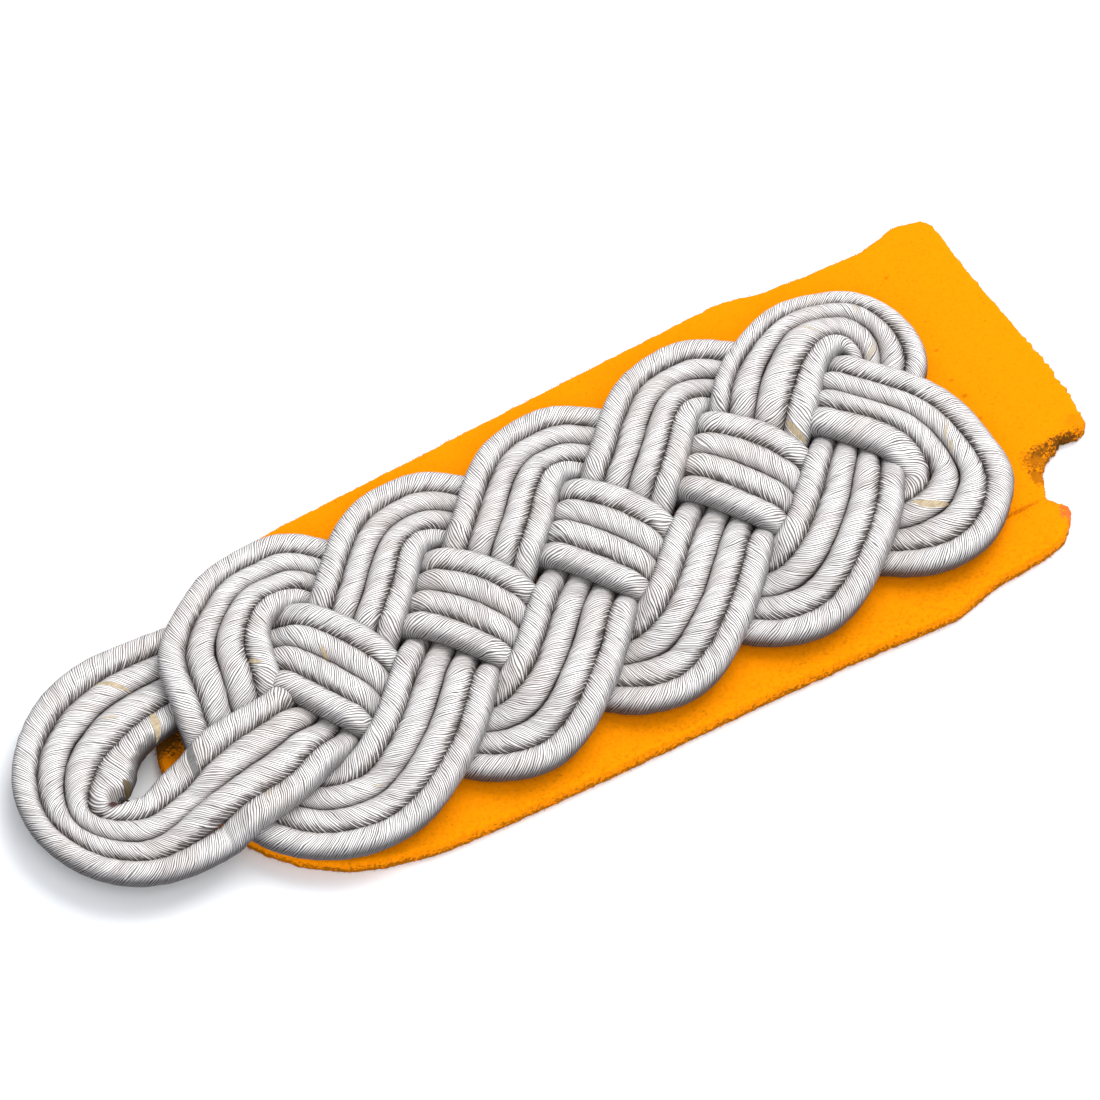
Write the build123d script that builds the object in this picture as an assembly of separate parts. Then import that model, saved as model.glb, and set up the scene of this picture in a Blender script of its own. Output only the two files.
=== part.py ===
from build123d import *
import math
import os
import numpy as np

os.makedirs("parts", exist_ok=True)

# Shoulder board: a flat plait of four parallel wire-wrapped cords, knotted as one endless
# strand with a buttonhole loop at one end, sewn on a strip of wool felt. Millimetres.
# While it is drawn, X runs from the buttonhole loop to the sleeve end, Y to the left edge
# and Z up. At the end the whole board moves so that its origin is under its middle.

# Driving sizes
felt_thickness = 2.0       # wool felt of the underlay
cord_diameter = 2.8        # one wire-wrapped cord where nothing presses it
widest_radius = 1.75       # radius of a cord that has room to spread
cord_gap = 0.14            # air kept between two cords that lie against each other
felt_gap = 0.12            # air between the felt and the lowest cords
crossing_rise = 2.9        # how much higher the upper cord's middle is at a crossing
plait_pitch = 17.7         # length of one repeat of the plait
loop_droop = 0.5           # how far the buttonhole loop hangs under the middle of the plait
ring_sides = 8             # sides of a cord's section
ring_turn = 34.0           # degrees that a cord may turn between two of its sections
ring_run = 8.5             # longest run between two sections
cord_count = 4             # cords that lie side by side in the strand
cord_stiffness = 1.0       # how far along itself a cord spreads a bend
samples_per_span = 24      # points worked out between two stations of a cord
crossing_room = 4.0        # run of a cord on each side of a crossing that no lobe's height changes
end_trim = 0.7             # what each cord's two hidden ends lack under the last crossing
own_run = 8.0              # run of a cord within which it doesn't press on itself
bend_share = 0.8           # part of a bend's inner room that a cord may fill
press_step = 0.35          # spacing of the points between which the room for a cord is measured

low = felt_thickness + felt_gap + cord_diameter / 2
high = low + crossing_rise
middle = (low + high) / 2

# Crossings that repeat along the board, copy k standing k pitches further on, with the strand's
# middle where it goes over and where it goes under:
# name, pass, first copy, last copy, x of copy 0, y, heading, spread.
# A heading is in degrees from +X. A spread is the distance from cord to cord, or, where the cords
# aren't evenly wide, the places of their edges from the bundle's left to its right.
REPEATED_CROSSINGS = [
    ("left", "over", 2, 4, 12.0, 8.3, 47, 2.75),
    ("left", "under", 3, 5, 12.0, 8.3, -42, 2.7),
    ("centre", "over", 2, 4, 20.2, 0.0, -55, 3.15),
    ("centre", "under", 2, 4, 20.2, 0.0, 40, 2.8),
    ("right", "over", 1, 4, 27.0, -10.9, 44, 3.15),
    ("right", "under", 1, 4, 27.0, -10.9, -42, 2.7),
]

# Crossings at the two ends, where the plait opens into its loops: name, pass, x, y, heading, spread
END_CROSSINGS = [
    ("left 1", "over", 27.3, 7.2, 77, 3.4),
    ("left 1", "under", 27.6, 9.5, -6, 2.8),
    ("left 2", "under", 46.5, 8.3, -50, 2.8),
    ("left 5", "over", 99.4, 7.0, 47, (7.0, 4.9, 1.95, -1.75, -5.2)),
    ("centre 1", "over", 38.0, 0.6, -62, 3.2),
    ("centre 1", "under", 38.0, 0.6, 30, 2.8),
    ("centre 5", "over", 106.6, 1.3, -48, (5.0, 2.45, 0, -2.1, -5.8)),
    ("centre 5", "under", 107.0, 0.8, 48, 2.3),
    ("right 0", "over", 24.5, -6.8, 7, 3.7),
    ("right 0", "under", 24.5, -6.8, -93, 3.0),
]

# Lobes that repeat along the two edges: name, first, last, x of copy 0, y, heading, spread, height
REPEATED_LOBES = [
    ("lobe left", 2, 4, 21.2, 13.9, -2, 2.5, middle - 0.2),
    ("lobe right", 2, 4, 17.6, -16.2, -2, 3.4, middle - 0.6),
]

# Lobes at the two ends and the buttonhole loop: points of x, y, heading, spread, height
END_LOBES = {
    "lobe left 1": [(32.4, 12.8, 36, 2.5, middle + 0.4), (39.6, 14.7, 0, 2.4, middle - 0.2)],
    "lobe right 1": [(33.6, -16.4, 0, 3.1, middle - 0.6)],
    "lobe left 5": [
        (104.1, 12.0, 25, (4.75, 2.7, 0.8, -2.75, -5.4), middle + 0.2),
        (110.1, 12.2, -20, (4.1, 2.4, 0.9, -1.7, -4.4), middle - 0.2),
        (112.9, 9.6, -72, (3.8, 1.95, -0.1, -2.7, -4.2), middle - 0.2),
        (112.8, 5.0, -120, (4.4, 1.9, -1.0, -2.7, -4.4), middle - 0.8),
    ],
    "lobe right 5": [
        (107.2, -15.4, 14, (6.0, 3.2, -0.3, -4.0, -7.0), middle - 0.2),
        (111.3, -12.6, 54, (6.2, 2.85, -0.25, -3.3, -6.3), middle - 0.2),
        (112.1, -8.6, 88, (6.6, 2.9, 0.2, -2.3, -5.1), middle + 0.4),
    ],
    "leg": [(32.3, -4.9, 16, 3.0, None)],
    "loop": [
        (11.6, 8.5, 203, (7.6, 4.4, 0.5, -2.9, -6.3), middle - loop_droop),
        (5.9, 3.4, 238, (7.9, 3.0, -0.25, -3.35, -6.1), middle - loop_droop),
        (4.8, -2.9, 287, (5.2, 0.9, -1.2, -3.2, -5.6), middle - loop_droop),
        (9.3, -7.6, 336, (4.5, 1.9, -1.1, -3.7, -6.4), middle - loop_droop),
        (16.0, -8.1, 6, (6.3, 2.9, -0.1, -3.3, -6.9), middle - loop_droop / 2),
    ],
}

# Edge of the felt underlay seen from above: the rounded loop end, the left edge, the ragged sleeve
# end with its notch, and the right edge, as x, y
FELT_OUTLINE = [
    (16.2, -2.5), (16.8, 2), (19, 6.5), (22, 11), (25.8, 15.4), (30.5, 19), (35.5, 21.3),
    (44, 22.1), (60, 22.4), (84, 22.9), (101, 23.2), (103, 22.9), (106, 22), (113, 21.4), (119, 21.1),
    (123.6, 22.2), (126.9, 21.3), (127.5, 20), (127.6, 14), (128.4, 4), (129, -4), (129, -7.4),
    (128.6, -10.6), (127.6, -12.3), (124.4, -11.8), (122.4, -13.2), (120.6, -14.8), (120.2, -16.4),
    (119.4, -18), (121.4, -20.6), (120.2, -21.9), (118.7, -23.4), (116.5, -24), (109, -24.7),
    (103, -26.2), (93, -25.5), (80, -25), (60, -24.8), (46, -24.4), (38, -23.9), (32, -22.5),
    (28, -20.9), (24, -17.9), (21, -14.2), (18, -8),
]

# The way of the strand through the knot. A crossing says whether the strand goes over or under,
# and "back" marks what it travels against the heading of the table.
ROUTE = """
centre 5 under, lobe left 5 back, left 5 over back, centre 4 under back, right 3 over back,
lobe right 3 back, right 2 under back, centre 2 over back, left 2 under back, lobe left 1 back,
left 1 over back, right 0 under, lobe right 1, right 1 over, centre 2 under, left 3 over,
lobe left 3, left 4 under, centre 4 over, right 4 under, lobe right 5, centre 5 over back,
left 5 under back, lobe left 4 back, left 4 over back, centre 3 under back, right 2 over back,
lobe right 2 back, right 1 under back, centre 1 over back, left 1 under back, loop,
right 0 over, leg, centre 1 under, left 2 over, lobe left 2, left 3 under, centre 3 over,
right 3 under, lobe right 4, right 4 over, centre 5 under
"""


def crossing_table():
    """Every pass of a crossing by name and pass, as x, y, heading, spread."""
    table = {}
    for name, over, first, last, x, *rest in REPEATED_CROSSINGS:
        for k in range(first, last + 1):
            table[f"{name} {k}", over] = (x + k * plait_pitch, *rest)
    for name, over, *row in END_CROSSINGS:
        table[name, over] = tuple(row)
    return table


def lobe_table():
    """Every lobe by name, as its list of points."""
    table = dict(END_LOBES)
    for name, first, last, x, *rest in REPEATED_LOBES:
        for k in range(first, last + 1):
            table[f"{name} {k}"] = [(x + k * plait_pitch, *rest)]
    return table


def cord_edges(spread, back):
    """The places of the cords' edges across the strand, as it travels, from left to right."""
    if not isinstance(spread, tuple):
        return spread * (cord_count / 2 - np.arange(cord_count + 1))
    return -np.array(spread[::-1]) if back else np.array(spread)


def stations():
    """The strand's stations in order: x, y, heading, edges, height, crossing name, goes over."""
    crossings = crossing_table()
    lobes = lobe_table()
    rows = []
    for entry in ROUTE.replace("\n", " ").split(","):
        words = entry.split()
        back = words[-1] == "back"
        if back:
            words = words[:-1]
        turn = 180 if back else 0
        if words[-1] in ("over", "under"):
            name = " ".join(words[:-1])
            x, y, heading, spread = crossings[name, words[-1]]
            edges = cord_edges(spread, back)
            rows.append((x, y, heading + turn, edges, None, name, words[-1] == "over"))
        else:
            points = lobes[" ".join(words)]
            for x, y, heading, spread, height in (points[::-1] if back else points):
                edges = cord_edges(spread, back)
                rows.append((x, y, heading + turn, edges, height, None, None))
    return rows


def smoothstep(t):
    """An even rise from 0 to 1, level at both ends."""
    return t * t * (3 - 2 * t)


def plan_line(cord, rows):
    """One cord's line seen from above, and the sample at which it passes each station.

    The cord keeps its place in the bundle, across the heading of each station, and runs from
    station to station on a cubic curve that follows both headings.
    """
    t = np.linspace(0, 1, samples_per_span, endpoint=False)[:, None]
    headings = np.radians([row[2] for row in rows])
    along = np.column_stack([np.cos(headings), np.sin(headings)])
    across = np.column_stack([-along[:, 1], along[:, 0]])
    aside = np.array([(row[3][cord] + row[3][cord + 1]) / 2 for row in rows])
    points = np.array([row[:2] for row in rows]) + across * aside[:, None]
    line = []
    for start in range(len(rows) - 1):
        p, q = points[start], points[start + 1]
        turn = abs((headings[start + 1] - headings[start] + math.pi) % (2 * math.pi) - math.pi)
        pull = np.linalg.norm(q - p) / math.cos(turn / 4) ** 2
        line.append((1 + 2 * t) * (1 - t) ** 2 * p + t * (1 - t) ** 2 * pull * along[start])
        line[-1] += t ** 2 * (3 - 2 * t) * q - t ** 2 * (1 - t) * pull * along[start + 1]
    line.append(points[-1:])
    return soften(np.vstack(line)), np.arange(len(rows)) * samples_per_span


def travelled(line):
    """How far each sample lies along its line."""
    return np.concatenate([[0], np.cumsum(np.linalg.norm(np.diff(line[:, :3], axis=0), axis=1))])


def soften(line):
    """Rounds sharp bends off: every sample becomes a bell-shaped mean of its neighbours."""
    way = travelled(line)
    apart = (way[:, None] - way[None]) / cord_stiffness
    share = np.exp(-apart ** 2 / 2) * np.gradient(way)
    share /= share.sum(axis=1, keepdims=True)
    soft = share @ line
    soft[[0, -1]] = line[[0, -1]]
    return soft


def crossing_marks(lines, passes, rows):
    """For each cord the samples at which it crosses another one, with its height there.

    They are looked for between the station before the crossing and the one after it.
    """
    reach = {}
    for cord, line in enumerate(lines):
        for row, sample in zip(rows, passes[cord]):
            if row[5] is not None:
                start = max(0, sample - samples_per_span)
                near = range(start, min(len(line), sample + samples_per_span + 1))
                reach.setdefault((cord, row[5], row[6]), []).extend(near)
    marks = [{0: low, len(line) - 1: low} for line in lines]
    for name in {name for name, over in crossing_table()}:
        for upper in range(cord_count):
            for lower in range(cord_count):
                above = np.array(reach[upper, name, True])
                below = np.array(reach[lower, name, False])
                apart = lines[upper][above][:, None] - lines[lower][below][None]
                a, b = np.unravel_index(np.argmin((apart ** 2).sum(axis=2)), apart.shape[:2])
                marks[upper][above[a]] = high
                marks[lower][below[b]] = low
    return marks


def raise_lines(lines, passes, rows):
    """Gives the cords their heights: high or low where two cross, and an even slope between."""
    raised = []
    for line, stops, heights in zip(lines, passes, crossing_marks(lines, passes, rows)):
        way = travelled(line)
        crossed = way[sorted(heights)]
        for row, sample in zip(rows, stops):
            if row[4] is not None and np.abs(crossed - way[sample]).min() > crossing_room:
                heights[sample] = row[4]
        samples = sorted(heights)
        z = np.empty(len(line))
        for start, end in zip(samples[:-1], samples[1:]):
            t = (way[start:end + 1] - way[start]) / (way[end] - way[start])
            z[start:end + 1] = heights[start] + (heights[end] - heights[start]) * smoothstep(t)
        raised.append(np.column_stack([line, z]))
    return raised


def half_widths(cord, rows):
    """Half the distance between a cord's two edges, at every sample of its line."""
    at_stations = [(row[3][cord] - row[3][cord + 1]) / 2 for row in rows]
    samples = np.arange((len(rows) - 1) * samples_per_span + 1)
    return np.interp(samples / samples_per_span, np.arange(len(rows)), at_stations)


def cord_lines():
    """The middle lines of all the cords, with their half widths as a fourth column."""
    rows = stations()
    made = [plan_line(cord, rows) for cord in range(cord_count)]
    raised = raise_lines([line for line, stops in made], [stops for line, stops in made], rows)
    return [np.column_stack([line, half_widths(cord, rows)]) for cord, line in enumerate(raised)]


def ring_points(line):
    """The points of a cord's middle line that get a ring: closer together where it bends more.

    Each of them keeps the cord's half width as its fourth number.
    """
    way = travelled(line)
    line = line[(way > end_trim) & (way < way[-1] - end_trim)]
    way = travelled(line)
    aim = np.diff(line[:, :3], axis=0)
    aim /= np.linalg.norm(aim, axis=1)[:, None]
    bend = np.degrees(np.arccos(np.clip((aim[1:] * aim[:-1]).sum(axis=1), -1, 1)))
    turned = np.concatenate([[0], np.cumsum(bend), [bend.sum()]])
    effort = turned / ring_turn + way / ring_run
    places = np.linspace(0, effort[-1], math.ceil(effort[-1]) + 1)
    return np.column_stack([np.interp(places, effort, column) for column in line.T])


def ring_frames(points):
    """At each ring the two directions across the cord, carried along without a twist."""
    aim = np.diff(points, axis=0)
    aim /= np.linalg.norm(aim, axis=1)[:, None]
    ahead = np.vstack([aim[:1], aim[1:] + aim[:-1], aim[-1:]])
    ahead /= np.linalg.norm(ahead, axis=1)[:, None]
    side = np.cross([0, 0, 1], ahead[0])
    sides = []
    for direction in ahead:
        side = side - direction * (side @ direction)
        side /= np.linalg.norm(side)
        sides.append(side)
    sides = np.array(sides)
    return sides, np.cross(ahead, sides)


def free_radii(points):
    """The radius of a cord at its rings where nothing presses it: more where its edges stand wide."""
    spread = np.clip(points[:, 3], cord_diameter / 2, widest_radius)
    return np.minimum(spread, points[:, 2] - felt_thickness - felt_gap)


def room_for(points_of_cords):
    """The radius that each ring may have beside its neighbours: all the cord's where it lies free.

    Points are spread along every cord, and each looks for the nearest point of another cord, or of
    another pass of its own. Half of what is left after the gap is the radius, and a ring takes the
    least of the two runs that meet in it.
    """
    spots, owners, ways, runs = [], [], [], []
    for cord, points in enumerate(points_of_cords):
        way = travelled(points)
        places = np.linspace(0, way[-1], math.ceil(way[-1] / press_step))
        spots.append(np.column_stack([np.interp(places, way, points[:, axis]) for axis in range(3)]))
        owners.append(np.full(len(places), cord))
        ways.append(places)
        runs.append(np.clip(np.searchsorted(way, places, side="right") - 1, 0, len(points) - 2))
    everything, all_owners, all_ways = np.vstack(spots), np.concatenate(owners), np.concatenate(ways)
    radii = []
    for cord, points in enumerate(points_of_cords):
        length = ways[cord][-1]
        nearest = np.empty(len(spots[cord]))
        for place, spot in enumerate(spots[cord]):
            along = np.abs(all_ways - ways[cord][place])
            own = (all_owners == cord) & (np.minimum(along, length - along) < own_run)
            nearest[place] = np.linalg.norm(everything[~own] - spot, axis=1).min()
        free = free_radii(points)
        room = 2 * np.minimum(free[1:], free[:-1]) + cord_gap
        np.minimum.at(room, runs[cord], nearest)
        tight = np.minimum(np.append(room, room[-1]), np.insert(room, 0, room[0]))
        radii.append((tight - cord_gap) / 2)
    return radii


def corner_rows(points, radii):
    """The corners of a cord's rings, with a ring made smaller where a bend leaves it no room."""
    sides, ups = ring_frames(points)
    angles = 2 * math.pi * np.arange(ring_sides) / ring_sides
    spread = np.cos(angles)[None, :, None] * sides[:, None] + np.sin(angles)[None, :, None] * ups[:, None]
    aim = np.diff(points, axis=0)
    length = np.linalg.norm(aim, axis=1)
    closing = ((spread[:-1] - spread[1:]) * (aim / length[:, None])[:, None]).sum(axis=2).max(axis=1)
    bend_room = bend_share * length / closing.clip(min=1e-9)
    nearer = np.minimum(np.append(bend_room, math.inf), np.insert(bend_room, 0, math.inf))
    radii = np.minimum(radii, nearer)
    return points[:, None] + radii[:, None, None] * spread


def cord_solid(corners):
    """A closed tube of flat triangles over a cord's rings."""
    vectors = [[Vector(*corner) for corner in ring] for ring in corners]
    faces = [
        Face(Wire.make_polygon(vectors[0][::-1], close=True)),
        Face(Wire.make_polygon(vectors[-1], close=True)),
    ]
    for ring, following in zip(vectors[:-1], vectors[1:]):
        for k in range(ring_sides):
            after = (k + 1) % ring_sides
            faces.append(Face(Wire.make_polygon([ring[k], ring[after], following[after]], close=True)))
            faces.append(Face(Wire.make_polygon([ring[k], following[after], following[k]], close=True)))
    return Solid(Shell(faces))


# The cords
middle_lines = [ring_points(line) for line in cord_lines()]
cord_radii = room_for(middle_lines)
cords = []
for points, radii in zip(middle_lines, cord_radii):
    cords.append(cord_solid(corner_rows(points[:, :3], radii)))

# The underlay
felt_face = make_face(Polyline(*FELT_OUTLINE, close=True))
underlay = extrude(felt_face, amount=felt_thickness)

# The origin goes under the middle of the whole board
box = Compound([underlay, *cords]).bounding_box()
to_origin = Location((-(box.min.X + box.max.X) / 2, -(box.min.Y + box.max.Y) / 2, -box.min.Z))
export_step(underlay.moved(to_origin), "parts/underlay.step")
for number, cord in enumerate(cords, start=1):
    export_step(cord.moved(to_origin), f"parts/braid_cord_{number}.step")
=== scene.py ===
import math
import bpy
import numpy as np
from mathutils import Matrix, Vector, geometry


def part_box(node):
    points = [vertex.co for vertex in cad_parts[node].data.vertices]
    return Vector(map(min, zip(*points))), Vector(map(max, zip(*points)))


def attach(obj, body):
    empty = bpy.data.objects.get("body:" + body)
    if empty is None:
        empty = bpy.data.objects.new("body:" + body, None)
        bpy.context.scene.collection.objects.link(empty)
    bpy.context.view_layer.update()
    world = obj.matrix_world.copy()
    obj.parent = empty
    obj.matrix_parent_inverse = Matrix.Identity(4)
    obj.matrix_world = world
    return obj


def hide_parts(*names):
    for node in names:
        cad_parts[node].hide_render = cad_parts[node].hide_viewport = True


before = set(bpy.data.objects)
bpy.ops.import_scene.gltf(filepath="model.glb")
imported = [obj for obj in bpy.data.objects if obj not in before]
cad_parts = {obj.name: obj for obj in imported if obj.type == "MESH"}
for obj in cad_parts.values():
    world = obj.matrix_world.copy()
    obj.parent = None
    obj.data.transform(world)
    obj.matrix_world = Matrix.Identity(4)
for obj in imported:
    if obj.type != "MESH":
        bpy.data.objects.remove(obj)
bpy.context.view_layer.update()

# Shoulder board: a plait of four parallel wire-wrapped cords on a strip of golden wool felt.
# The route of the cords is worked out in millimetres, with X from the buttonhole loop to the
# sleeve end, Y to the far edge and Z up, and everything is then moved into the CAD frame.
mm = 0.001
seed = 7

# Sizes of the plait and the felt
felt_thickness = 2.0       # wool felt of the underlay
cord_diameter = 2.8        # one wire-wrapped cord where nothing presses it
felt_gap = 0.12            # air between the felt and the lowest cords
crossing_rise = 2.9        # how much higher the upper cord's middle is at a crossing
plait_pitch = 17.7         # length of one repeat of the plait
loop_droop = 0.5           # how far the buttonhole loop hangs under the middle of the plait
cord_count = 4             # cords that lie side by side in the strand
cord_stiffness = 1.0       # how far along itself a cord spreads a bend
samples_per_span = 24      # points worked out between two stations of a cord
crossing_room = 4.0        # run of a cord on each side of a crossing that no lobe's height changes
end_trim = 0.7             # what each cord's two hidden ends lack under the last crossing

low = felt_thickness + felt_gap + cord_diameter / 2
high = low + crossing_rise
middle = (low + high) / 2

# Colours, as linear red, green and blue
wire_bright = (0.98, 0.95, 0.93)
wire_dark = (0.80, 0.76, 0.74)
tarnish = (0.78, 0.70, 0.64)
band_grey = (0.62, 0.60, 0.60)
# The next two colours paint shade on the cords' flanks, the second with a painted cool reflection on
# the free flanks
flank_shade_grey = (0.60, 0.58, 0.575)
free_flank_cool_shade = (0.80, 0.825, 0.86)
# Dark brown of the gaps between the wires, part dirt and part painted shade, also painted into the
# creases between cords
gap_dirt_and_shade = (0.040, 0.026, 0.018)
# Painted shade that darkens the cords' undersides
painted_underside_shade = (0.12, 0.115, 0.12)
core_cream = (0.60, 0.47, 0.29)
core_grey = (0.22, 0.215, 0.205)
core_olive = (0.10, 0.062, 0.016)
# The next two colours are painted shade, in the kink's hollow and on the flank by the buttonhole
kink_pit_shade = (0.045, 0.010, 0.006)
hole_flank_shade = (0.045, 0.037, 0.032)
felt_light = (0.95, 0.270, 0.0)
felt_deep = (0.90, 0.262, 0.0)
# The notch's scorch, also used as painted shade on the felt by the buttonhole
felt_scorch_and_shade = (0.11, 0.040, 0.004)
# Brown of specks, also used as painted shade towards the felt's near edge
felt_speck_and_shade_brown = (0.22, 0.075, 0.0)
felt_red = (1.0, 0.13, 0.03)
# Brown of specks and of the fold line, also used as painted shade on the felt by the buttonhole
felt_brown_and_shade = (0.42, 0.10, 0.0)
felt_sheen = (1.0, 0.45, 0.05)
floor_white = (0.93, 0.93, 0.93)
floor_grain = (0.9114, 0.9114, 0.9114)
sky_grey = (0.72, 0.75, 0.80)
sky_strength = 0.95

wire_metallic = 0.15       # how metallic a clean wire is
wire_wander = 0.7          # how far the wires stray from an even pitch

# How the wires lie on each cord: degrees by which they lean forwards on the cord's right, away
# from straight across it, and the distance from wire to wire
WINDINGS = [
    (-34, 0.28),
    (44, 0.27),
    (42, 0.28),
    (-34, 0.27),
]

# Cords whose wires have parted on their left side, and on their right side
PARTED_LEFT, PARTED_RIGHT = (1, 3), (0, 2)

# Places where the wires have parted over the core: cord, middle's place along the cord and round
# it from its underside, half length round the cord, half width, how bare it is and its colour
OPENINGS = [
    (2, 421.8, 4.5, 1.9, 0.42, 1.0, core_cream),
    (0, 377.0, 4.2, 2.0, 0.60, 1.0, core_cream),
    (1, 401.9, 4.8, 0.7, 0.30, 0.6, core_cream),
    (0, 121.9, 5.5, 0.9, 0.35, 0.9, core_cream),
    (2, 394.2, 3.1, 1.0, 0.45, 0.9, core_cream),
    (0, 22.6, 4.4, 1.6, 0.50, 1.0, core_cream),
    (1, 17.1, 4.4, 0.9, 0.30, 0.5, core_cream),
    (2, 14.9, 4.6, 1.0, 0.28, 0.5, core_cream),
    (1, 7.8, 4.4, 1.3, 0.35, 0.6, core_cream),
    (2, 284.8, 4.0, 1.1, 0.28, 0.8, core_cream),
    (2, 282.9, 3.4, 0.7, 0.35, 0.8, core_cream),
    (1, 256.6, 5.0, 1.5, 0.55, 1.0, core_cream),
    (3, 498.5, 3.6, 0.7, 0.25, 0.6, core_cream),
    (1, 156.2, 5.3, 0.7, 0.22, 0.6, core_cream),
    (0, 401.0, 4.5, 2.3, 0.50, 1.0, core_grey),
    (0, 386.2, 2.9, 1.0, 0.60, 0.9, core_olive),
]

# What the four sizes in a row of that table are called
LENS_SIZES = ("Centre along", "Centre around", "Half length", "Half width")

# Hollows pressed into a cord's top: cord, x and y of the middle, heading in degrees, half length,
# half width and depth
DENTS = [
    (0, 9.5, -2.3, -20, 1.4, 0.85, 2.4),
]

# Painted shade on the cords, dark red-brown in the hollow at the kink and dark on the inner flank by
# the buttonhole: cord, x, y, z, half sizes in x, y and z, colour and strength
CORD_SHADE_SPOTS = [
    (0, 8.6, -3.0, 5.6, 1.3, 0.65, 2.0, kink_pit_shade, 1.0),
    (0, 9.8, -2.8, 5.4, 1.2, 0.60, 2.0, kink_pit_shade, 1.0),
    (0, 11.1, -1.6, 4.9, 1.1, 1.0, 1.3, hole_flank_shade, 0.65),
    (0, 12.2, -0.4, 4.9, 1.1, 1.0, 1.3, hole_flank_shade, 0.7),
    (0, 13.4, 0.9, 5.0, 1.1, 1.0, 1.3, hole_flank_shade, 0.7),
    (0, 14.7, 1.9, 5.0, 1.1, 1.0, 1.3, hole_flank_shade, 0.7),
    (0, 16.1, 2.7, 4.9, 1.1, 0.9, 1.2, hole_flank_shade, 0.6),
]

# Marks of the felt: x, y, z, half sizes in x, y and z, colour and strength. The first three are painted
# shade on the felt seen through the buttonhole; the rest are specks, the scorched rim of the notch, a
# brown line along the fold and the reddish tip
FELT_SPOTS = [
    (17.8, 1.8, 2.0, 2.2, 2.2, 1.5, felt_brown_and_shade, 0.5),
    (18.9, 4.2, 2.0, 2.6, 2.2, 1.5, felt_scorch_and_shade, 0.95),
    (17.9, 3.2, 2.0, 2.4, 1.5, 1.5, felt_scorch_and_shade, 0.9),
    (119.3, 16.5, 2.0, 0.30, 0.22, 1.0, felt_brown_and_shade, 0.5),
    (119.1, 5.2, 2.0, 0.35, 0.22, 1.0, felt_brown_and_shade, 0.5),
    (118.5, 0.9, 2.0, 0.35, 0.22, 1.0, felt_brown_and_shade, 0.5),
    (118.7, -1.6, 2.0, 0.45, 0.25, 1.0, felt_brown_and_shade, 0.55),
    (118.5, -5.1, 2.0, 0.45, 0.25, 1.0, felt_brown_and_shade, 0.55),
    (124.9, -12.0, 1.0, 2.4, 0.75, 1.6, felt_scorch_and_shade, 0.95),
    (122.3, -12.2, 1.2, 1.6, 0.9, 1.8, felt_scorch_and_shade, 0.75),
    (121.0, -13.0, 1.6, 1.5, 1.5, 1.8, felt_scorch_and_shade, 0.6),
    (120.1, -15.0, 1.6, 0.9, 1.4, 1.8, felt_scorch_and_shade, 0.55),
    (127.4, -10.8, 1.4, 1.2, 1.2, 1.6, felt_scorch_and_shade, 0.2),
    (120.2, -18.6, 1.2, 0.9, 0.9, 1.6, felt_scorch_and_shade, 0.25),
    (116.4, -17.9, 2.0, 2.4, 0.30, 1.2, felt_brown_and_shade, 0.65),
    (113.4, -17.9, 2.0, 1.6, 0.40, 1.2, felt_brown_and_shade, 0.45),
    (120.9, -20.8, 1.5, 1.2, 1.4, 2.0, felt_red, 0.85),
]

# Sizes of the cords' visible surfaces
ring_spacing = 0.3         # distance between two rings of a cord's surface
ring_sides = 28            # points round a cord
narrowest_half = 1.05      # least half width of a cord between its neighbours
widest_half = 2.5          # largest half width of a cord
free_half = 1.45           # half width of a cord on a side where nothing lies beside it
bend_fill = 0.8            # share of a bend's radius that the cord's inner side fills at most
narrowest_inner = 0.9      # least half width of a cord on the inner side of a bend
press_overlap = 0.03       # how far two neighbours press into each other
cord_half_height = 1.46
section_power = 0.88       # 1 leaves a cord's section round, and less squares it
bulge_share = 0.016        # height of the bulges along the wires, as a share of the section
bulge_stretch = 4          # how many times longer they are round the cord than along the wires
broad_bulge_share = 0.022  # height of the broad bulges along the cord, as a share of the section
least_air = 0.05           # least air between a cord's surface and the felt

# Sizes of the felt's visible surface
edge_spacing = 0.24        # distance between two points of the edge
corner_softness = 0.55     # run of edge over which a corner is rounded
ragged_depth = 0.05        # how far the edge strays in and out
torn_from, torn_run = 117, 6    # where the torn sleeve end starts, and the run to its full tear
torn_below = 2             # y below which the sleeve end is torn
torn_extra = 3             # how many times more the torn edge strays
fold_ends = (111, 120)     # from where to where the fold line runs
fold_y = -17.9             # where across the felt it lies
fold_fade = 2              # run over which it fades at its ends
fold_depth = 0.16
fold_half_width = 0.6
felt_shoulder = 0.55       # radius of the round shoulder along the edge
shoulder_rings = 4         # rings of points round the shoulder
WALL_RINGS = (0.66, 0.33, 0.1)    # heights of the rings under it, as shares of the wall
wall_fuzz = 0.03           # unevenness of each ring
wall_shift = 9             # how far its waves move over the height of the wall
foot_inset = 0.15          # how far the wall's foot draws in
felt_grid = 0.5            # distance between the points of the top
grid_shake = 0.3           # how far those are shaken, as a share of their distance
grid_inset = 0.3           # how far they keep from the shoulder, as a share of its radius
top_allowance = 0.07       # how much lower the top lies for its swellings and nap
swelling_height = 0.035    # height of the top's broad swellings
nap_height = 0.014

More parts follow.
